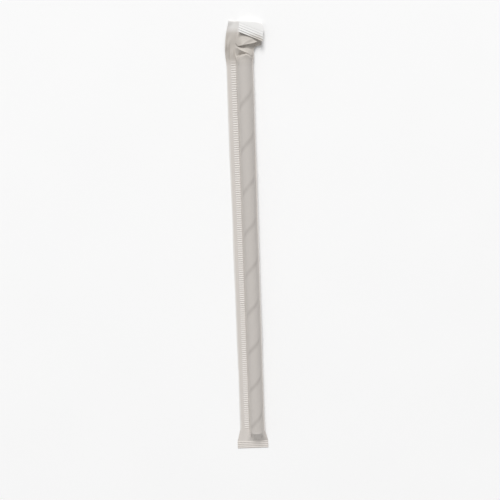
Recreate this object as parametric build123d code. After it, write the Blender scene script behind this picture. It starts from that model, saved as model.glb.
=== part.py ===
"""A drinking straw sealed in its paper wrapper, lying on a table.

The straw is a tube of wound paper. The wrapper is one web of paper, folded lengthwise round the straw:
a fold crease runs along one side, a knurled seam with a free margin along the other, and both ends are
pressed flat and crimped. Past the straw's upper end the paper is creased and flattened to a neck, and
the crimped tab there, as wide as the pouch without its seam, is folded back over the neck.

Millimetres. +X runs along the straw towards its upper end, the seam lies on the +Y side, +Z is up.
The origin is on the table, under the middle of the straw.
"""

import os
from math import acos, atan2, cos, hypot, radians, sin, tan

from build123d import *

# Straw: a tube wound from three plies of paper
straw_length = 197.0
straw_diameter = 6.0
straw_wall = 0.4

# Paper of the wrapper, and the clearance between it and the straw, round the straw and past its ends
paper = 0.10
ease = 0.10
end_gap = 0.6

# Wrapper's section, measured outwards from the straw's sides, and where its lower ply leaves the table
seam_slack = 1.2
fold_slack = 1.3
fold_height = 2.0
lift_off = 1.1

# Knurled seam: a strip of embossed ticks, then a free margin
knurl_width = 2.6
seam_margin = 2.3
tick_pitch = 1.15
tick_width = 0.66
tick_top = 0.26
tick_height = 0.15
knurl_end_gap = 0.2

# Crimped ends: ridges across the flattened paper, with flat lands between them
crimp_ridges = 4
ridge_pitch = 1.1
ridge_width = 0.72
ridge_height = 0.26

# Lower end: the run from the straw to the crimp
lower_run = 7.0

# Upper end: the run from the straw to the flat neck, which is moved and leans to the right
neck_run = 15.0
neck_length = 3.0
neck_shift = 3.2
neck_lean = 13.0

# Creases across the upper ply in that run: each one's distance past the straw, its lean to the right, how
# far the fold reaches out there, and how far it raises the five points of the crown, from seam to fold. The
# last one, the shoulder, is set back from the neck.
shoulder_setback = 3.0
dome = (2.0, 0.0, 0.0, (0.1, 0.6, 0.8, 0.5, 0.0))
dent = (3.3, 5.0, -0.2, (-1.0, -2.6, -0.8, 0.1, 0.0))
ridge = (4.7, 12.0, -0.5, (-0.2, 0.0, 0.5, 0.7, 0.3))
valley = (6.9, -3.0, -0.8, (-0.3, -1.1, -1.6, -1.5, -0.5))
lip = (7.7, -8.0, 2.2, (0.1, 0.3, 0.4, 0.4, 0.3))
shoulder = (neck_run - shoulder_setback, 2.0, 1.2, (0.2, 0.7, 0.9, 0.8, 0.5))

# Folded tab: how far the fold is skewed in the neck, its inner radius and its turn, the land from the fold
# to the tab's crimp, the slant of the crimp to the fold, and how far the seam beside it runs past the fold
fold_skew = -8.0
fold_radius = 0.7
fold_turn = 158.0
tab_land = 2.1
tab_slant = 18.5
seam_tail = 0.4

# Values that follow from those sizes
straw_radius = straw_diameter / 2
two_plies = 2 * paper
axis_height = paper + straw_radius
crown_radius = straw_radius + ease + paper
seam_root = straw_radius + seam_slack
fold_reach = straw_radius + fold_slack
seam_width = knurl_width + seam_margin
body_end = straw_length / 2 + end_gap
body_start = -body_end
crimp_length = crimp_ridges * ridge_pitch
lower_crimp_start = body_start - lower_run


def touch_angle(y, z, side):
    """Angle at which a line from (y, z) touches the crown circle; side is 1 or -1."""
    distance = hypot(y, z - axis_height)
    return atan2(z - axis_height, y) + side * acos(crown_radius / distance)


def on_crown(angle, radius):
    """Point of a circle round the straw's axis at an angle from +Y."""
    return (radius * cos(angle), axis_height + radius * sin(angle))


def length_of(points):
    """Length of the open line through the points."""
    return sum(hypot(b[0] - a[0], b[1] - a[1]) for a, b in zip(points, points[1:]))


# Section of the body, anticlockwise from the seam's edge on the table. The upper ply is wrapped over the
# straw and leaves it on two tangents, to the seam's root and to the fold crease.
seam_touch = touch_angle(seam_root, two_plies, 1)
fold_touch = touch_angle(-fold_reach, fold_height, -1) + radians(360)
crown_angles = [seam_touch + (fold_touch - seam_touch) * part / 4 for part in range(5)]
body_outline = [
    (seam_root + seam_width, 0),
    (seam_root + seam_width, two_plies),
    (seam_root, two_plies),
    *[on_crown(angle, crown_radius) for angle in crown_angles],
    (-fold_reach, fold_height),
    (-fold_reach, fold_height - two_plies),
    (-lift_off, 0),
]

# Section where the plies are pressed flat: each ply is half of the body's girth, centred on the straw.
crown_arc = crown_radius * (fold_touch - seam_touch)
upper_ply = length_of(body_outline[2:4]) + crown_arc + length_of(body_outline[7:9])
lower_ply = length_of(body_outline[9:]) + lift_off + seam_root
flat_half = (upper_ply + lower_ply) / 4
flat_edge = flat_half + seam_width
flat_outline = [
    (flat_edge, 0),
    (flat_edge, two_plies),
    (flat_half, two_plies),
    *[(flat_half * part, two_plies) for part in (0.85, 0.45, 0.0, -0.45, -0.85)],
    (-flat_half, two_plies),
    (-flat_half, 0),
    (-flat_half * 0.7, 0),
]


def between(first, second, part):
    """The outline part of the way from one outline to another."""
    return [(a[0] + (b[0] - a[0]) * part, a[1] + (b[1] - a[1]) * part) for a, b in zip(first, second)]


def creased(crease):
    """The outline at a crease: part of the way from body to flat, its crown raised, its fold moved out."""
    run, _, reach, rises = crease
    points = between(body_outline, flat_outline, run / neck_run)
    moves = [(0, 0)] * 3 + [(0, rise) for rise in rises] + [(-reach, 0), (-reach, 0), (0, 0)]
    return [(y + move, z + rise) for (y, z), (move, rise) in zip(points, moves)]


def pouch(outline):
    """An outline without its seam: closed from the seam's root straight down to the table."""
    return [(outline[2][0], 0), *outline[2:]]


def moved_in(start, end, depth):
    """A line moved to its left by depth, as a point and a direction."""
    run, rise = end[0] - start[0], end[1] - start[1]
    length = hypot(run, rise)
    return (start[0] - rise / length * depth, start[1] + run / length * depth), (run, rise)


def crossing(first, second):
    """Where two lines meet, each given as a point and a direction."""
    (p, d), (q, e) = first, second
    part = ((q[0] - p[0]) * e[1] - (q[1] - p[1]) * e[0]) / (d[0] * e[1] - d[1] * e[0])
    return (p[0] + d[0] * part, p[1] + d[1] * part)


def chamber(outline, depth):
    """Corners of the space between the plies, depth in from the upper ply, the fold and the lower ply."""
    upper = outline[2:9]
    lines = [moved_in(a, b, depth) for a, b in zip(upper, upper[1:])]
    lines += [moved_in(outline[9], outline[10], depth), moved_in(outline[10], outline[0], depth)]
    return [crossing(a, b) for a, b in zip([lines[-1], *lines], lines)]


def section(points, plane, first_arc=None, radius=None):
    """A face through points on a plane; four spans from first_arc on follow the crown circle."""
    edges = []
    for place, (a, b) in enumerate(zip(points, points[1:] + points[:1])):
        if first_arc is not None and first_arc <= place < first_arc + 4:
            middle = atan2(a[1] + b[1] - 2 * axis_height, a[0] + b[0])
            edges.append(ThreePointArc(a, on_crown(middle, radius), b))
        else:
            edges.append(Line(a, b))
    return plane * make_face(edges)


def across(run, lean=0.0, shift=0.0):
    """The plane across the pack at x = run, turned to the right by lean; its own X points to the left."""
    turn = radians(lean)
    left, ahead = (sin(turn), cos(turn), 0), (cos(turn), -sin(turn), 0)
    return Plane(origin=(run, shift, 0), x_dir=left, z_dir=ahead)


def upper_plane(run, lean):
    """A plane across the paper past the straw's upper end; nearer the neck it lies further to the right."""
    part = run / neck_run
    return across(body_end + run, lean, -neck_shift * part * part)


def body_section(x):
    return section(body_outline, across(x), 3, crown_radius)


def chamber_section(x):
    corners = chamber(body_outline, paper)
    corners[1:6] = [on_crown(angle, crown_radius - paper) for angle in crown_angles]
    return section(corners, across(x), 1, crown_radius - paper)


def skin(start, end):
    return loft([start, end], ruled=True)


def seam_corner(part, inside):
    """A corner of the seam part of the way to the neck: a little inside its root, or on its free edge."""
    overlap = 0.5
    outline = between(body_outline, flat_outline, part)
    reach = outline[2][0] - overlap if inside else outline[1][0]
    return upper_plane(neck_run * part, neck_lean * part).from_local_coords((reach, 0))


# Outside of the two plies: the body, its run down to the lower crimp, then the creased pouch up to the
# neck, from crease to crease, with the seam lying flat beside it.
creases = (dome, dent, ridge, valley, lip, shoulder)
rings = [section(pouch(body_outline), across(body_end), 2, crown_radius)]
rings += [section(pouch(creased(crease)), upper_plane(crease[0], crease[1])) for crease in creases]
rings += [section(pouch(flat_outline), upper_plane(neck_run, neck_lean))]
seam_steps = 5
seam_parts = [step / seam_steps for step in range(seam_steps + 1)]
seam_edge = [seam_corner(part, False) for part in seam_parts]
seam_edge += [seam_corner(part, True) for part in reversed(seam_parts)]
wrapper = extrude(body_section(body_start), amount=body_end - body_start, dir=(1, 0, 0))
wrapper = wrapper.fuse(
    skin(section(flat_outline, across(lower_crimp_start)), body_section(body_start)),
    *[skin(start, end) for start, end in zip(rings, rings[1:])],
    extrude(make_face(Polyline(*seam_edge, close=True)), amount=two_plies, dir=(0, 0, 1)),
)

# Inside: the space the straw lies in, closed where the plies come together. Past the straw's upper end,
# where the paper is steep, the space is drawn a second paper further in.
closing = 0.14
lower_stop = between(flat_outline, body_outline, closing)
upper_stop = between(flat_outline, creased(valley), closing)
inner_dent = section(chamber(creased(dent), two_plies), upper_plane(*dent[:2]))
inner_valley = section(chamber(creased(valley), two_plies), upper_plane(*valley[:2]))
stop_run = neck_run + (valley[0] - neck_run) * closing
stop_lean = neck_lean + (valley[1] - neck_lean) * closing
inner_stop = section(chamber(upper_stop, paper), upper_plane(stop_run, stop_lean))
space = extrude(chamber_section(body_start), amount=body_end - body_start, dir=(1, 0, 0))
space = space.fuse(
    skin(
        section(chamber(lower_stop, paper), across(lower_crimp_start + lower_run * closing)),
        chamber_section(body_start),
    ),
    skin(chamber_section(body_end), inner_dent),
    skin(inner_dent, inner_valley),
    skin(inner_valley, inner_stop),
)


def crimp(start, right, left):
    """Corrugated strip from x = start, between two places across: lands on the table, ridges between."""
    land = ridge_pitch - ridge_width
    end = start + crimp_length

    def wave(level):
        lines = [Line((start, level), (start + land / 2, level))]
        for number in range(crimp_ridges):
            near = start + number * ridge_pitch + land / 2
            far = near + ridge_width
            top = (near + ridge_width / 2, level + ridge_height)
            rest = end if number == crimp_ridges - 1 else far + land
            lines.append(ThreePointArc((near, level), top, (far, level)))
            lines.append(Line((far, level), (rest, level)))
        return lines

    ends = [Line((start, 0), (start, two_plies)), Line((end, 0), (end, two_plies))]
    profile = Plane.XZ * make_face(wave(0) + wave(two_plies) + ends)
    strip = extrude(profile, amount=left - right, dir=(0, 1, 0))
    return Pos(0, right, 0) * strip


def flat_paper(corners):
    """Both plies lying flat inside the corners."""
    return extrude(make_face(Polyline(*corners, close=True)), amount=two_plies, dir=(0, 0, 1))


def fold_at(place):
    """Where the skewed fold line crosses the flat neck, at a place across it."""
    return neck_length + place * tan(radians(fold_skew))


# Neck, drawn flat with X along it, with the seam's end beside it.
neck = flat_paper([
    (0, -flat_half),
    (fold_at(-flat_half), -flat_half),
    (fold_at(flat_half), flat_half),
    (fold_at(flat_half) + seam_tail, flat_half),
    (fold_at(flat_edge) + seam_tail, flat_edge),
    (0, flat_edge),
])

# Tab, drawn flat with X straight out from the fold line: its crimp and cut edge are slanted, and its sides
# are tucked square to the fold.
fold_half = flat_half / cos(radians(fold_skew))
wide = 2 * fold_half
blank = flat_paper([(-wide, -wide), (0, -wide), (0, wide), (-wide, wide)]) + crimp(0, -wide, wide)
window = Box(wide, 2 * fold_half, wide, align=(Align.MIN, Align.CENTER, Align.CENTER))
tab = window & (Pos(tab_land, 0, 0) * Rot(0, 0, tab_slant) * blank)

# The fold is a small roll about an axis above the neck, and the tab is turned about that axis.
roll_axis = two_plies + fold_radius
roll_face = Plane.YZ * Rectangle(2 * fold_half, two_plies, align=(Align.CENTER, Align.MIN))
roll = revolve(roll_face, Axis((0, 0, roll_axis), (0, -1, 0)), fold_turn)
turned = Pos(0, 0, roll_axis) * Rot(0, -fold_turn, 0) * Pos(0, 0, -roll_axis) * tab
neck_start = Pos(upper_plane(neck_run, neck_lean).origin) * Rot(0, 0, -neck_lean)
fold_line = neck_start * Pos(neck_length, 0, 0) * Rot(0, 0, -fold_skew)

# Embossed ticks: blunt ridges on top of the seam, each with its hollow beneath, from the upper end down.
last_tick = body_end - knurl_end_gap - tick_width
tick_count = int((last_tick - body_start - knurl_end_gap) / tick_pitch) + 1


def ticks(level):
    """Blunt ridges rising from a level, one at each tick of the knurled strip."""
    flank = (tick_width - tick_top) / 2
    top = level + tick_height
    corners = [(0, level), (flank, top), (tick_width - flank, top), (tick_width, level)]
    profile = Plane.XZ * make_face(Polyline(*corners, close=True))
    tick = Pos(last_tick, seam_root, 0) * extrude(profile, amount=knurl_width, dir=(0, 1, 0))
    return [Pos(-place * tick_pitch, 0, 0) * tick for place in range(tick_count)]


wrapper = wrapper.fuse(
    crimp(lower_crimp_start - crimp_length, -flat_half, flat_edge),
    neck_start * neck,
    fold_line * roll,
    fold_line * turned,
)
wrapper = wrapper.cut(space)
wrapper = wrapper.fuse(*ticks(two_plies)).cut(*ticks(0))

straw_ring = Circle(straw_radius) - Circle(straw_radius - straw_wall)
straw_plane = Plane(origin=(-straw_length / 2, 0, axis_height), x_dir=(0, 1, 0), z_dir=(1, 0, 0))
straw = extrude(straw_plane * straw_ring, amount=straw_length)

os.makedirs("parts", exist_ok=True)
export_step(wrapper, "parts/paper_wrapper.step")
export_step(straw, "parts/paper_straw.step")
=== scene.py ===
import math

import bpy
import numpy as np
from mathutils import Matrix, Vector


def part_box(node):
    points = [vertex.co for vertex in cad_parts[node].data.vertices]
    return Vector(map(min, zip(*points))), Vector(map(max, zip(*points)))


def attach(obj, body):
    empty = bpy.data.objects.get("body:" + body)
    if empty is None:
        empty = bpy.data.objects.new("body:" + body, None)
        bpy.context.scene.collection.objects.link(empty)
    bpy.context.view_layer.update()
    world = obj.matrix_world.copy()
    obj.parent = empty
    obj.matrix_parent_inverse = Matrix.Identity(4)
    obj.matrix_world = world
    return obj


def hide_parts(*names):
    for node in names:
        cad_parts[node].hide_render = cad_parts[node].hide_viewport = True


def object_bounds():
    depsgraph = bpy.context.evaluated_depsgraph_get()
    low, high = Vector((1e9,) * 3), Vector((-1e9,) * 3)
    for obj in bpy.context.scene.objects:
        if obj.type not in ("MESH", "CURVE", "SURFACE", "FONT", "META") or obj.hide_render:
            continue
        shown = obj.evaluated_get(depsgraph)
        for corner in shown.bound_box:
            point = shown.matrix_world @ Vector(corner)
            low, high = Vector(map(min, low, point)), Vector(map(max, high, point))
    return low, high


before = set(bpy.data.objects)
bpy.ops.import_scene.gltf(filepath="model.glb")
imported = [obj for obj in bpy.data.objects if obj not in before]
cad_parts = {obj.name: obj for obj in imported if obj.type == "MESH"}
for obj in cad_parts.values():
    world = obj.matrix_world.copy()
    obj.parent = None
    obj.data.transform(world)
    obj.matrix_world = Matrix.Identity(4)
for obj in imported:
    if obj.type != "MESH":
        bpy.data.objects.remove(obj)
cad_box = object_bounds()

# Straw: three plies of black paper wound on a slant and glued into one stiff tube, so that a joint runs
# round it as a long helix. It lies loose in the wrapper; its turned shape stays and only gets its finish.
mm = 0.001


class Tone:
    """A socket of one material's nodes; sums, differences, products and quotients add Math nodes."""

    def __init__(self, tree, socket=None):
        self.tree = tree
        self.socket = socket

    def node(self, kind, settings, sockets, output=0):
        """A new node with its settings made first, then its sockets filled with values or other tones."""
        made = self.tree.nodes.new(kind)
        for name, value in settings.items():
            setattr(made, name, value)
        for place, value in sockets.items():
            if isinstance(value, Tone):
                self.tree.links.new(value.socket, made.inputs[place])
            else:
                made.inputs[place].default_value = value
        return Tone(self.tree, made.outputs[output])

    def other(self, output):
        """Another output of the node that gives this tone."""
        return Tone(self.tree, self.socket.node.outputs[output])

    def math(self, operation, first, second=0.0, clamp=False):
        settings = {"operation": operation, "use_clamp": clamp}
        return self.node("ShaderNodeMath", settings, {0: first, 1: second})

    def __add__(self, other):
        return self.math("ADD", self, other)

    def __sub__(self, other):
        return self.math("SUBTRACT", self, other)

    def __mul__(self, other):
        return self.math("MULTIPLY", self, other)

    def __truediv__(self, other):
        return self.math("DIVIDE", self, other)

    def __rsub__(self, other):
        return self.math("SUBTRACT", other, self)

    def __rtruediv__(self, other):
        return self.math("DIVIDE", other, self)

    __radd__ = __add__
    __rmul__ = __mul__

    def clamped(self):
        return self.math("ADD", self, 0.0, clamp=True)

    def size(self):
        return self.math("ABSOLUTE", self)

    def ramped(self, start, end):
        """0 at the start and 1 at the end, held beyond both; the end may be the smaller of the two."""
        return ((self - start) / (end - start)).clamped()

    def mixed(self, first, second):
        """The colour between two colours, this tone being the share of the second."""
        sockets = {0: self, 6: first, 7: second}
        return self.node("ShaderNodeMix", {"data_type": "RGBA"}, sockets, output=2)

    def stretched(self, along, across):
        """Places with the straw's length scaled apart from its width, for marks that run along it."""
        sockets = {0: self, 1: (along, across, across)}
        return self.node("ShaderNodeVectorMath", {"operation": "MULTIPLY"}, sockets)

    def noise(self, scale, detail=2.0):
        """Cloudy noise from 0 to 1 at places in millimetres, scale being swings in a millimetre."""
        return self.node("ShaderNodeTexNoise", {}, {"Vector": self, "Scale": scale, "Detail": detail})

    def bumped(self, strength):
        """The surface's direction tilted by this tone, taken as relief a tenth of a millimetre high."""
        sockets = {"Strength": strength, "Distance": 0.1 * mm, "Height": self}
        return self.node("ShaderNodeBump", {}, sockets)


def new_finish(name):
    """A material, its shader, and a tone that gives each point's place in millimetres."""
    material = bpy.data.materials.new(name)
    material.use_nodes = True
    tree = material.node_tree
    metres = Tone(tree).node("ShaderNodeTexCoord", {}, {}, output="Object")
    place = metres.node("ShaderNodeVectorMath", {"operation": "SCALE"}, {0: metres, "Scale": 1 / mm})
    return material, tree.nodes["Principled BSDF"], place


def connect(shader, **tones):
    """Joins tones to the shader's sockets; spaces in a socket's name are written as underscores."""
    for name, tone in tones.items():
        tone.tree.links.new(tone.socket, shader.inputs[name.replace("_", " ")])


straw_low, straw_high = (np.array(corner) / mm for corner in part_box("paper_straw"))
straw_end = straw_high[0]
straw_radius = (straw_high[1] - straw_low[1]) / 2
axis_height = (straw_high[2] + straw_low[2]) / 2
ply_lead = 21.6
joint_width = 0.05
deep_black = (0.008, 0.008, 0.009, 1)
fibre_black = (0.022, 0.021, 0.020, 1)


def around_straw(place):
    """Length along the straw, distance from its skin, and the turn round it, each as a tone."""
    along = place.node("ShaderNodeSeparateXYZ", {}, {0: place})
    side = along.other(1)
    rise = along.other(2) - axis_height
    distance = place.math("SQRT", side * side + rise * rise) - straw_radius
    turn = place.math("ARCTAN2", rise, side) / (2 * math.pi)
    return along, distance, turn


def ply_joint(place, soft):
    """1 on the helical joint of the plies, fading to 0 at a share of the lead on either side of it."""
    along, _, turn = around_straw(place)
    spare_turns = 10.0
    phase = place.math("FRACT", along / ply_lead - turn + spare_turns)
    return (phase - 0.5).size().ramped(soft, 0.0)


straw_finish, straw_shader, place = new_finish("black_wound_paper")
fibres = place.stretched(0.4, 1.6).noise(3.0, 4.0)
joint = ply_joint(place, joint_width)
straw_shader.inputs["Specular IOR Level"].default_value = 0.35
connect(
    straw_shader,
    Base_Color=fibres.mixed(deep_black, fibre_black),
    Roughness=0.62 - 0.14 * fibres + 0.15 * joint,
    Normal=(fibres - joint).bumped(0.25),
)
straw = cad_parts["paper_straw"]
straw.data.materials.clear()
straw.data.materials.append(straw_finish)

# Wrapper: one web of thin white paper folded lengthwise round the straw. A knurled strip joins the two
# plies along one side, with a free margin outside it, and both ends are pressed flat and crimped. Past
# the straw's upper end it is puckered, flattened to a neck, and its crimped tab is folded back.
paper = 0.10
two_plies = 2 * paper
crown_gap = 0.20
crown_radius = straw_radius + crown_gap
seam_gap = 1.2
seam_root = straw_radius + seam_gap
fold_gap = 1.3
fold_reach = straw_radius + fold_gap
fold_height = 2.0
fold_flange = 0.55
lift_off = 1.1
knurl_width = 2.6
seam_margin = 2.3
seam_width = knurl_width + seam_margin
end_gap = 0.6
body_end = straw_end + end_gap
lower_run = 7.0


def touch_angle(y, z, side):
    """Angle round the straw at which a line from (y, z) touches the paper's crown."""
    distance = math.hypot(y, z - axis_height)
    return math.atan2(z - axis_height, y) + side * math.acos(crown_radius / distance)


def line(start, end, shares):
    """Points along a straight stretch at the given shares of it."""
    run = end[0] - start[0]
    rise = end[1] - start[1]
    return [(start[0] + run * share, start[1] + rise * share) for share in shares]


def evenly(count):
    """Shares of a stretch that leave its end to the stretch after it."""
    return [k / count for k in range(count)]


# The section's points run anticlockwise: along the lower ply to the seam's edge, then back over the crown.
quarters = [0.25, 0.5, 0.75, 1.0]
tick_ramp = 0.22
seam_rows = [0, tick_ramp, knurl_width / 3, 2 * knurl_width / 3, knurl_width - tick_ramp, knurl_width]
seam_rows += [knurl_width + seam_margin * share for share in quarters]
tick_rows = [0, 1, 1, 1, 1, 0, 0, 0, 0, 0]
lower_fold = (-fold_reach, fold_height - two_plies)
lower_flange = (lower_fold[0] + fold_flange, lower_fold[1])
lifted_from = (-lift_off, 0)
seam_foot = (seam_root, 0)
lower_ply = [lower_fold] + line(lower_flange, lifted_from, evenly(4))
lower_ply += line(lifted_from, seam_foot, evenly(5))
seam_touch = touch_angle(seam_root, two_plies, 1)
upper_flange = (-fold_reach + fold_flange, fold_height)
fold_touch = touch_angle(*upper_flange, -1) + 2 * math.pi
crown_points = 22
crown = []
for k in range(crown_points + 1):
    angle = seam_touch + (fold_touch - seam_touch) * k / crown_points
    crown.append((crown_radius * math.cos(angle), axis_height + crown_radius * math.sin(angle)))
upper_ply = line((seam_root, two_plies), crown[0], evenly(5)) + crown
upper_ply += line(crown[-1], upper_flange, quarters) + [(-fold_reach, fold_height)]


def shares_along(points, end=None):
    """How far along its line each point lies, from 0 to 1, and the line's length."""
    whole = np.array(points + ([end] if end else []))
    steps = np.hypot(*np.diff(whole, axis=0).T)
    reached = np.concatenate([[0], np.cumsum(steps)])
    return reached[: len(points)] / reached[-1], reached[-1]


lower_shares, lower_length = shares_along(lower_ply, seam_foot)
upper_shares, upper_length = shares_along(upper_ply)
flat_half = (upper_length + lower_length) / 4
body_ring = np.array(
    lower_ply
    + [(seam_root + row, 0) for row in seam_rows]
    + [(seam_root + row, two_plies) for row in reversed(seam_rows[1:])]
    + upper_ply
)
flat_ring = np.array(
    [(flat_half * (2 * share - 1), 0) for share in lower_shares]
    + [(flat_half + row, 0) for row in seam_rows]
    + [(flat_half + row, two_plies) for row in reversed(seam_rows[1:])]
    + [(flat_half * (1 - 2 * share), two_plies) for share in upper_shares]
)
points_round = len(body_ring)
first_row = len(lower_ply)
upper_start = points_round - len(upper_ply)
on_upper = np.arange(points_round) >= upper_start
across = np.zeros(points_round)
across[upper_start:] = 1 - 2 * upper_shares
fin_share = np.zeros(points_round)
fin_share[first_row:upper_start] = [row / seam_width for row in seam_rows + seam_rows[:0:-1]]
tick_share = np.zeros(points_round)
tick_share[first_row:upper_start] = tick_rows + tick_rows[:0:-1]

# Sizes along the sheet: ticks are embossed along the seam, ridges across both ends, and past the straw come
# the puckered run, the flat neck and the tab, whose crimp lies at a slant to the fold.
hair = 1e-6
tick_pitch = 1.15
tick_width = 0.66
tick_flank = 0.20
tick_height = 0.15
tick_land = (tick_width + tick_pitch) / 2
knurl_end_gap = 0.2
crimp_ridges = 4
ridge_pitch = 1.1
ridge_width = 0.72
ridge_height = 0.26
ridge_land = ridge_pitch - ridge_width
crimp_length = crimp_ridges * ridge_pitch
neck_run = 15.0
neck_length = 3.0
slit_place = 1.7
seam_tail = 0.4
roll_inside = 0.7
roll_radius = roll_inside + paper
fold_turn = math.radians(164)
roll_length = roll_radius * fold_turn
tab_plain = 2.1
tab_crimp = neck_length + roll_length + tab_plain
tab_slant = math.radians(18.5)
slant_stretch = 1 / math.cos(tab_slant)
strip_length = tab_crimp + crimp_length * slant_stretch
crimp_start = body_end + lower_run
last_tick = body_end - knurl_end_gap - tick_width
tick_count = int((last_tick + body_end - knurl_end_gap) / tick_pitch) + 1
first_tick = last_tick - (tick_count - 1) * tick_pitch

# Creases past the straw's end: how far past it each one lies; then, at places across the upper ply from the
# seam to the fold, how far the paper is moved ahead and up; then how far the fold is moved to the right.
crease_across = (1.0, 0.72, 0.25, -0.2, -0.65, -1.0)
rest = (0, 0, 0, 0, 0, 0)
creases = [
    (0.0, rest, rest, 0.0),
    (2.2, (0, -2.2, -0.2, 0.9, -0.6, -0.8), (0, 0.0, 0.5, 0.8, 0.3, 0), 0.0),
    (3.4, (0, -1.2, -0.3, 0.4, -1.0, -1.3), (0, -1.1, -3.2, -0.7, 0.0, 0), -0.2),
    (5.0, (0, 1.2, 0.2, -0.9, -2.2, -2.2), (0, -0.6, 0.0, 0.4, 0.5, 0), -0.5),
    (6.6, (0, 0.3, 0.0, -0.3, -0.7, -1.0), (0, -0.9, -1.6, -1.7, -1.2, 0), -0.9),
    (7.6, (0, 0.5, 0.8, 1.3, 2.0, 2.4), (0, -0.9, -1.1, -1.1, -0.9, 0), 0.6),
    (8.2, (0, -1.5, -0.9, 0.1, 1.2, 2.1), (0, 0.3, 0.5, 0.5, 0.5, 0.3), 2.4),
    (12.0, rest, (0, 0.6, 0.9, 0.9, 0.7, 0.4), 1.3),
    (neck_run, rest, rest, 0.0),
]


def ridge_steps(start, stretch=1.0):
    """Places of the rows across one crimp: the foot, flanks and top of each ridge."""
    ridge_shares = (0, 0.12, 0.3, 0.5, 0.7, 0.88, 1)
    feet = [ridge_pitch * k + ridge_land / 2 for k in range(crimp_ridges)]
    steps = [0] + [foot + ridge_width * share for foot in feet for share in ridge_shares] + [crimp_length]
    return [start + step * stretch for step in steps]


# Rows of points lie where the ticks, ridges and creases need them, from the lower cut edge to the upper one.
taper_rows = 30
slit_rows = 5
roll_rows = 40
least_rows = 8
rows_in_mm = 5
lower_places = ridge_steps(-crimp_start - crimp_length)
lower_places += list(np.linspace(-crimp_start, -body_end, taper_rows)[1:])
tick_steps = (0, tick_flank, tick_width / 2, tick_width - tick_flank, tick_width, tick_land)
body_places = [first_tick + tick_pitch * k + step for k in range(tick_count) for step in tick_steps]
body_places = [spot for spot in body_places if spot < body_end] + [body_end]
neck_places = []
for (near, *_), (far, *_) in zip(creases, creases[1:]):
    row_count = least_rows + int(rows_in_mm * (far - near))
    neck_places += list(body_end + np.linspace(near, far, row_count)[1:])
strip_steps = list(np.linspace(0, slit_place, slit_rows)[1:])
strip_steps += list(np.linspace(slit_place, tab_crimp, roll_rows)[1:-1])
strip_steps += ridge_steps(tab_crimp, slant_stretch)
strip_places = [body_end + neck_run + step for step in strip_steps]
places = np.array(lower_places + body_places + neck_places + strip_places)
along = places[:, None]
past_end = along - body_end
strip = past_end - neck_run


def ramp(value, start, end):
    """0 before start, 1 after end, and straight between."""
    return np.clip((value - start) / (end - start), 0, 1)


def waver(value, spacing, seed):
    """A smooth random line between -1 and 1 that swings about once in a spacing."""
    knots = np.random.default_rng(seed).uniform(-1, 1, 4000)
    step = np.asarray(value) / spacing + len(knots) // 2
    index = np.floor(step).astype(int)
    part = step - index
    part = part * part * (3 - 2 * part)
    return knots[index] * (1 - part) + knots[index + 1] * part


def crumple(value, spacing, seed):
    """The same line turned into sharp crests, from -1 to 1."""
    return 1 - 2 * np.abs(waver(value, spacing, seed))


# The section is blended from the body's to the flat one over each end, then worked as the paper is.
in_taper = ramp(-along, body_end, crimp_start)
flatness = np.maximum(in_taper, ramp(past_end, 0, neck_run))
ring_y, ring_z = body_ring.T
y = ring_y * (1 - flatness) + flat_ring[:, 0] * flatness
z = ring_z * (1 - flatness) + flat_ring[:, 1] * flatness

# Slack in the paper: the crown, its flanks and the fold crease waver along the body.
slack_fade = 12
crown_tight = 0.05
flank_share = 1.6
crown_share = 0.35
crease_reach = 0.5
in_body = ramp(body_end - np.abs(along), 0, slack_fade)
off_middle = np.abs(across)
flank = ramp(off_middle, 0.45, 0.7) * (1 - ramp(off_middle, 0.9, 1.0)) * on_upper
on_crown = on_upper * (1 - flank) * (1 - ramp(off_middle, 0.8, 1.0))
slack = 0.10 * waver(along, 17, 3) + 0.06 * waver(along + 2.2 * ring_y, 5.5, 4)
slack = slack + 0.05 * crumple(along - 3.0 * ring_y, 11, 5)
bulge = flank_share * flank * slack + crown_share * on_crown * np.maximum(slack, -crown_tight)
y = y + in_body * bulge * ring_y / crown_radius
z = z + in_body * bulge * (ring_z - axis_height) / crown_radius
at_fold = in_body * np.exp(-np.hypot(ring_y + fold_reach, ring_z - fold_height) / crease_reach)
y = y + 0.16 * at_fold * waver(along, 21, 6)
z = z + 0.20 * at_fold * waver(along, 26, 7)

# The seam's free margin lifts off the table and sways. Beside the pucker the whole seam rises, in a few
# gathers, each given by its row in the seam, where it starts and ends past the straw, and its height.
neck_rise = 0.9
gathers = [(2, -0.6, 6.5, 0.42), (6, -2.0, 10.5, 0.50), (8, 1.5, 13.0, 0.36)]
margin_lift = 0.30 + 0.30 * waver(along, 19, 8) + 0.12 * waver(along, 6, 9)
z = z + (1 - in_taper) * margin_lift * ramp(fin_share, knurl_width / seam_width, 1.3) ** 1.5
neck_slack = 0.55 + 0.45 * waver(along + 1.2 * ring_y, 3.4, 13)
z = z + neck_rise * ramp(past_end, 1.0, 6.0) * fin_share * neck_slack
for row, start, end, gather_height in gathers:
    gathered = np.sin(math.pi * ramp(past_end, start, end)) ** 2
    on_gather = np.isclose(fin_share, seam_rows[row] / seam_width)
    z = z + gather_height * gathered * on_gather
y = y + fin_share * (0.14 * waver(along, 23, 10) + 0.05 * waver(along, 4, 11))

# Knurl: each tick is pressed up through both plies of the seam.
phase = np.mod(along - first_tick + hair, tick_pitch)
ticks = np.clip(np.minimum(phase, tick_width - phase) / tick_flank, 0, 1)
ticks = ticks * (along > first_tick - hair) * (along < last_tick + tick_width)
z = z + tick_height * ticks * tick_share

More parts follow.
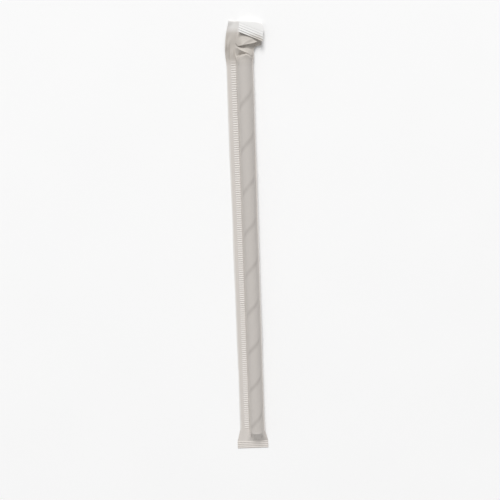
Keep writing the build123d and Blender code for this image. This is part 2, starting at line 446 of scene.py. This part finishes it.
# Lower end: between the straw's end and the crimp the paper falls in three creases, each given by its place
# across the upper ply and its depth.
pleat_width = 0.16
pleats = [(0.46, 0.95), (0.07, 0.45), (-0.43, 0.85)]
mid_taper = np.sin(math.pi * in_taper) ** 1.5
for middle, pleat_depth in pleats:
    pleat = np.clip(1 - np.abs(across - middle) / pleat_width, 0, 1)
    z = z - pleat_depth * on_upper * mid_taper * pleat

# Upper end: the paper drops over the straw's rim into a dent, rises over a slanting ridge, and past a valley
# stands up in a lip that hangs over it. Small random creases break up the surfaces between.
fold_side = np.where(on_upper, np.maximum(-across, 0), ramp(-ring_y, lift_off, fold_reach))
moves = np.zeros((3, len(places), points_round))
for near, far in zip(creases, creases[1:]):
    rows = np.flatnonzero((past_end[:, 0] >= near[0]) & (past_end[:, 0] <= far[0]))
    share = ramp(past_end[rows], near[0], far[0])
    ends = []
    for _, forward, upward, out in (near, far):
        bends = [np.interp(across, crease_across[::-1], move[::-1]) * on_upper for move in (forward, upward)]
        ends.append(bends + [out * fold_side])
    for axis in range(3):
        moves[axis, rows] = ends[0][axis] * (1 - share) + ends[1][axis] * share
creased = ramp(past_end, 0.6, 2.6) * (1 - 0.6 * ramp(past_end, 8.5, 12.0)) * (1 - ramp(strip, -1.0, 1.0))
small_creases = crumple(0.9 * past_end + 4.2 * across, 2.3, 14)
small_creases = small_creases + crumple(0.6 * past_end - 5.6 * across, 3.1, 15)
crease_height = 0.16 + 0.20 * ramp(past_end, 8.0, 9.5) * ramp(across, -0.3, 0.4)
moves[1] += crease_height * creased * small_creases * on_upper * (1 - across**4)
z = np.where(on_upper, np.maximum(z + moves[1], two_plies), z)
y = y - moves[2]

# Crimps: ridges across both flattened ends, broken into short dashes that are staggered from ridge to ridge.
# On the tab they are pressed more firmly towards the cut edge.
dash_length = 1.9
dash_depth = 0.18
tab_pressing = (0.3, 0.45, 1.0, 1.25)
lower_end = along < -crimp_start
upper_place = (strip - tab_crimp) / slant_stretch
ridge_place = np.where(lower_end, along + crimp_start + crimp_length, upper_place)
ridge_number = np.floor(ridge_place / ridge_pitch)
in_ridge = np.mod(ridge_place, ridge_pitch) - ridge_land / 2
crimped = (lower_end | (upper_place >= 0)) & (in_ridge > 0) & (in_ridge < ridge_width)
dashes = np.cos(2 * math.pi * (flat_ring[:, 0] / dash_length + ridge_number / 2))
ridges = (1 - (2 * in_ridge / ridge_width - 1) ** 2) * (1 - dash_depth + dash_depth * dashes)
pressing = np.where(lower_end, 1.0, np.interp(ridge_number, range(crimp_ridges), tab_pressing))
z = z + np.where(crimped, pressing * ridge_height * ridges, 0)

# The paper past the straw leans to the right, and a row's own axes turn with it. Past the fold line the rows
# turn on to the slant of the crimp, and the tab's sides stay square to the fold.
neck_lean = math.radians(13)
fold_skew = math.radians(8)
fold_lean = neck_lean - fold_skew
neck_shift = 3.2
lean_share = ramp(past_end, 0, neck_run)
turn_share = ramp(strip, slit_place, tab_crimp)
lean = neck_lean * lean_share + (fold_lean - tab_slant - neck_lean) * turn_share
in_neck = np.clip(strip, 0, neck_length)
in_tab = np.maximum(strip - neck_length, 0)
origin_x = np.minimum(along, body_end + neck_run) + moves[0]
origin_x = origin_x + in_neck * math.cos(neck_lean) + in_tab * math.cos(fold_lean)
origin_y = -neck_shift * lean_share**2 - in_neck * math.sin(neck_lean) - in_tab * math.sin(fold_lean)
y = np.where(strip > slit_place, y / np.cos(lean - fold_lean), y)
sheet_x = origin_x + y * np.sin(lean)
sheet_y = origin_y + y * np.cos(lean)

# The tab is folded back over the neck: the sheet follows one line that rolls over, then curls very slightly,
# most at the tab's corners. The right end of the fold is pinched in and back.
tab_curl = math.radians(1.2)
corner_curl = 0.5
pinch_length = 1.7
pinch_in = 1.2
pinch_back = 0.9
fold_x = body_end + neck_run + neck_length * math.cos(neck_lean)
fold_y = -neck_shift - neck_length * math.sin(neck_lean)
ahead = (sheet_x - fold_x) * math.cos(fold_lean) - (sheet_y - fold_y) * math.sin(fold_lean)
aside = (sheet_x - fold_x) * math.sin(fold_lean) + (sheet_y - fold_y) * math.cos(fold_lean)
pinch = np.exp(-(((ahead - roll_length / 2) / pinch_length) ** 2)) * ramp(-aside, 1.5, 6.0) ** 2
aside = aside + pinch_in * pinch
fold_line = np.linspace(0, 2 * strip_length, 1200)
step = fold_line[1]
bend = np.where(fold_line < roll_length, 1 / roll_radius, tab_curl)
heading = np.concatenate([[0], np.cumsum(bend[:-1] * step)])
line_ahead = np.concatenate([[0], np.cumsum(np.cos(heading[:-1]) * step)])
line_rise = np.concatenate([[0], np.cumsum(np.sin(heading[:-1]) * step)])
curled = corner_curl * ramp(np.abs(aside), 3.0, 6.2) ** 2 * ramp(ahead, roll_length, strip_length)
depth = z - paper - curled
turn_here = np.interp(ahead, fold_line, heading)
rolled = np.interp(ahead, fold_line, line_ahead) - depth * np.sin(turn_here)
rolled = np.where(ahead > 0, rolled, ahead) - pinch_back * pinch
risen = paper + np.interp(ahead, fold_line, line_rise) + depth * np.cos(turn_here)
rolled_x = fold_x + rolled * math.cos(fold_lean) + aside * math.sin(fold_lean)
rolled_y = fold_y - rolled * math.sin(fold_lean) + aside * math.cos(fold_lean)
outside = np.stack([rolled_x, rolled_y, np.where(ahead > 0, risen, z)], axis=-1)

# Only the pouch's width is folded: the seam beside it is slit there, runs on past the fold and droops.
seam_droop = 0.4
slit_row = int(np.flatnonzero(strip[:, 0] <= slit_place + hair)[-1])
fin_points = np.arange(first_row, upper_start + 1)
tab_points = np.r_[0:first_row + 1, upper_start:points_round]
fin_y = y[slit_row, fin_points]
fin_end = neck_length + fin_y * math.tan(fold_lean - neck_lean) + seam_tail
fin_rows = []
for share in (0.35, 0.7, 1.0):
    reach = (fin_end - slit_place) * share
    fin_x = sheet_x[slit_row, fin_points] + reach * math.cos(neck_lean)
    fin_side = sheet_y[slit_row, fin_points] - reach * math.sin(neck_lean)
    fin_rise = z[slit_row, fin_points] - seam_droop * fin_share[fin_points] * share**2
    fin_rows.append(np.stack([fin_x, fin_side, fin_rise], axis=-1))
fin = np.array(fin_rows)
tab = outside[slit_row + 1:][:, tab_points]
body = outside[:slit_row + 1]

# The inside follows the outside one paper in, from the lower taper to the pucker, and leaves out the seam.
chamber_low = -body_end - 0.7 * lower_run
chamber_high = body_end + 0.2
row_step = 4
chamber_rows = np.flatnonzero((places > chamber_low) & (places < chamber_high))[::row_step]
chamber_points = np.r_[1:first_row - 1, upper_start + 2:points_round - 1]
loop = outside[chamber_rows][:, chamber_points]
tangent = np.roll(loop, -1, axis=1) - np.roll(loop, 1, axis=1)
inward = np.stack([np.zeros_like(tangent[..., 0]), -tangent[..., 2], tangent[..., 1]], axis=-1)
inward /= np.linalg.norm(inward, axis=-1, keepdims=True)
inside = loop + paper * inward


def tube(rings):
    """Four-sided faces between rings of point numbers that follow one another."""
    beside = np.roll(rings, -1, axis=1)
    return np.stack([rings[:-1], beside[:-1], beside[1:], rings[1:]], axis=-1).reshape(-1, 4).tolist()


def numbered(points, first):
    """Point numbers for rows of points, counted on from the first."""
    return first + np.arange(points.shape[0] * points.shape[1]).reshape(points.shape[:2])


crease_angle = math.radians(26)
layers = [body, tab, fin, inside]
starts = np.cumsum([0] + [layer.shape[0] * layer.shape[1] for layer in layers])
rings = [numbered(layer, first) for layer, first in zip(layers, starts)]
body_rings, tab_rings, fin_rings, inner_rings = rings
tab_rings = np.vstack([body_rings[-1:, tab_points], tab_rings])
fin_rings = np.vstack([body_rings[-1:, fin_points], fin_rings])
inner_rings = inner_rings[:, ::-1]
faces = tube(body_rings) + tube(tab_rings) + tube(fin_rings) + tube(inner_rings)
faces += [body_rings[0, ::-1].tolist(), tab_rings[-1].tolist(), fin_rings[-1].tolist()]
faces += [inner_rings[0, ::-1].tolist(), inner_rings[-1].tolist()]
vertices = np.concatenate([layer.reshape(-1, 3) for layer in layers]) * mm
wrapper_mesh = bpy.data.meshes.new("wrapper_sheet")
wrapper_mesh.from_pydata(vertices.tolist(), [], faces)
wrapper_mesh.shade_smooth()
wrapper_mesh.set_sharp_from_angle(angle=crease_angle)
wrapper = bpy.data.objects.new("wrapper_sheet", wrapper_mesh)
bpy.context.collection.objects.link(wrapper)

# The paper is thin enough for the dark straw to grey it where the two lie close, though only on the top, so
# that the flanks stay lighter as painted light that evens out their shading; the joints of the straw's plies
# show as faint slanting bands. Fibres and cloudy patches break up its white.
plain_whites = ((0.625, 0.587, 0.552, 1), (0.675, 0.637, 0.60, 1))
greyed_whites = ((0.435, 0.405, 0.378, 1), (0.49, 0.458, 0.43, 1))
band_width = 0.11
wrapper_finish, wrapper_shader, place = new_finish("thin_white_paper")
along_straw, skin_distance, _ = around_straw(place)
sideways = along_straw.other(1)
height = along_straw.other(2)
from_middle = along_straw.size()
clouds = place.stretched(0.6, 1.0).noise(0.35, 3.0)
fibres = place.stretched(0.5, 1.3).noise(3.5, 4.0)
white = clouds.mixed(*plain_whites)
greyed = fibres.mixed(*greyed_whites)
close = skin_distance.ramped(1.25, 0.25)
near = skin_distance.ramped(6.5, 0.0)
# Painted light: the greying fades off below the top, so the flanks stay lighter and their shading is evened
# out.
top_grey_painted_light = height.ramped(axis_height - 0.6, axis_height + 2.0)
band = ply_joint(place, band_width) * (0.45 + clouds)
show_and_painted_light = close * close * top_grey_painted_light * (0.28 + 0.16 * clouds + 0.50 * band) + 0.12 * near
show_and_painted_light = show_and_painted_light * from_middle.ramped(straw_end + 3.0, straw_end - 1.0)

# The seam's end and the tab are whiter; the seam's free edge, the fold crease and the seam's pressed ticks
# are whiter as painted highlights, and the pucker is greyer with painted shade. The tab is told from the
# neck below it by a slope between the two.
edge_painted_highlight = (0.76, 0.74, 0.715, 1)
tick_painted_highlight = (0.78, 0.76, 0.735, 1)
pucker_painted_shade = (0.50, 0.465, 0.425, 1)
tip_white = (0.80, 0.785, 0.765, 1)
tab_white = (0.75, 0.745, 0.735, 1)
tab_slope = 0.28
half_knurl = knurl_width / 2
half_tick = tick_width / 2
spare_ticks = 500.0
seam_reach = sideways - seam_root
in_seam = from_middle.ramped(straw_end + 2.0, straw_end - 2.0)
# Painted highlight: a light line along the seam's free edge and along the fold crease, as if they caught the
# lamp.
free_edge_painted_highlight = seam_reach.ramped(seam_width - 0.75, seam_width - 0.5) * in_seam
fold_rim_painted_highlight = (sideways + fold_reach).size().ramped(0.5, 0.3) * in_seam
# Painted highlight: the tops of the pressed ticks are made whiter, as if each caught the lamp.
in_knurl = (seam_reach - half_knurl).size().ramped(half_knurl, half_knurl - 0.15) * in_seam
tick_phase = place.math("FRACT", (along_straw - first_tick) / tick_pitch + spare_ticks) * tick_pitch
tick_highlight_share = (tick_phase - half_tick).size().ramped(half_tick, half_tick - 0.12)
past_straw = along_straw - straw_end
# Painted shade: the paper past the straw's end, the seam beside it included, is greyed as if in the shadow
# of the tab and folds.
pucker_shade_share = past_straw.ramped(-2.0, 2.0) * past_straw.ramped(17.0, 12.5)
at_tip = past_straw.ramped(14.0, 16.6)
over_neck = (height - tab_slope * (fold_x - along_straw)).ramped(0.95, 1.45)
paper_tone_and_painted_light = (0.9 * free_edge_painted_highlight + 0.7 * fold_rim_painted_highlight).mixed(white, edge_painted_highlight)
paper_tone_and_painted_light = (0.8 * in_knurl * tick_highlight_share).mixed(paper_tone_and_painted_light, tick_painted_highlight)
paper_tone_and_painted_light = (0.85 * pucker_shade_share).mixed(paper_tone_and_painted_light, pucker_painted_shade)
paper_tone_and_painted_light = (0.9 * at_tip).mixed(paper_tone_and_painted_light, tip_white)
paper_tone_and_painted_light = (over_neck * past_straw.ramped(9.0, 9.5)).mixed(paper_tone_and_painted_light, tab_white)
wrinkles = 0.6 * fibres - 1.4 * (place.stretched(0.35, 0.8).noise(0.5, 1.5) - 0.5).size()
wrapper_shader.inputs["Specular IOR Level"].default_value = 0.25
connect(
    wrapper_shader,
    Base_Color=show_and_painted_light.clamped().mixed(paper_tone_and_painted_light, greyed),
    Roughness=0.70 - 0.14 * fibres,
    Normal=wrinkles.bumped(0.6),
)
wrapper_mesh.materials.append(wrapper_finish)
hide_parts("paper_wrapper")
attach(wrapper, "root")

# Table: a plain white matt top, one flat sheet far wider than the straw is long. The wrapped straw lies on
# it, and it takes the straw's soft shadow.
half_table = 6.0
table_whites = ((0.97, 0.97, 0.97, 1), (0.99, 0.99, 0.99, 1))
corners = [(-half_table, -half_table, 0), (half_table, -half_table, 0)]
corners += [(half_table, half_table, 0), (-half_table, half_table, 0)]
table_mesh = bpy.data.meshes.new("table")
table_mesh.from_pydata(corners, [], [(0, 1, 2, 3)])
table = bpy.data.objects.new("table", table_mesh)
bpy.context.collection.objects.link(table)
table_finish, table_shader, place = new_finish("white_table")
table_shader.inputs["Specular IOR Level"].default_value = 0.1
table_shader.inputs["Roughness"].default_value = 0.9
connect(table_shader, Base_Color=place.noise(0.02).mixed(*table_whites))
table_mesh.materials.append(table_finish)

# Light: one large soft lamp beyond the folded end, low enough to graze the paper, and a pale even sky that
# fills the shadows and is plain white wherever it is seen.
lamp_distance = 9.0
lamp_height = math.radians(36)
lamp_side = math.radians(5)
lamp = bpy.data.objects.new("key_lamp", bpy.data.lights.new("key_lamp", "AREA"))
lamp.data.shape = "DISK"
lamp.data.size = 3.9
lamp.data.energy = 680.0
level = math.cos(lamp_height)
aim = Vector((level * math.cos(lamp_side), level * math.sin(lamp_side), math.sin(lamp_height)))
lamp.location = aim * lamp_distance
lamp.rotation_euler = aim.to_track_quat("Z", "Y").to_euler()
bpy.context.collection.objects.link(lamp)
fill = 0.48
sky = bpy.data.worlds.new("pale_sky")
bpy.context.scene.world = sky
sky.use_nodes = True
background = sky.node_tree.nodes["Background"]
background.inputs["Color"].default_value = (1.0, 1.0, 1.0, 1.0)
camera_ray = Tone(sky.node_tree).node("ShaderNodeLightPath", {}, {}, output="Is Camera Ray")
seen = camera_ray + camera_ray.other("Is Glossy Ray") + camera_ray.other("Is Transmission Ray")
connect(background, Strength=fill + (1 - fill) * seen.clamped())

# Camera: looks down on the lying straw, with its folded end at the top of the picture and a little nearer,
# from far enough away to show the whole length.
camera_distance = 0.43
camera_tilt = math.radians(15)
picture_turn = math.radians(1.9)
low, high = (np.array(corner) for corner in cad_box)
target = Vector((low + high) / 2)
back = Vector((math.sin(camera_tilt), 0, math.cos(camera_tilt)))
up = Vector((math.cos(picture_turn), -math.sin(picture_turn), 0))
up = (up - back * up.dot(back)).normalized()
facing = Matrix((up.cross(back), up, back)).transposed().to_4x4()
camera = bpy.data.objects.new("camera", bpy.data.cameras.new("camera"))
bpy.context.collection.objects.link(camera)
camera.matrix_world = Matrix.Translation(target + back * camera_distance) @ facing
camera.data.lens = 60
camera.data.sensor_width = 36
bpy.context.scene.camera = camera
bpy.context.scene.view_settings.view_transform = "Standard"
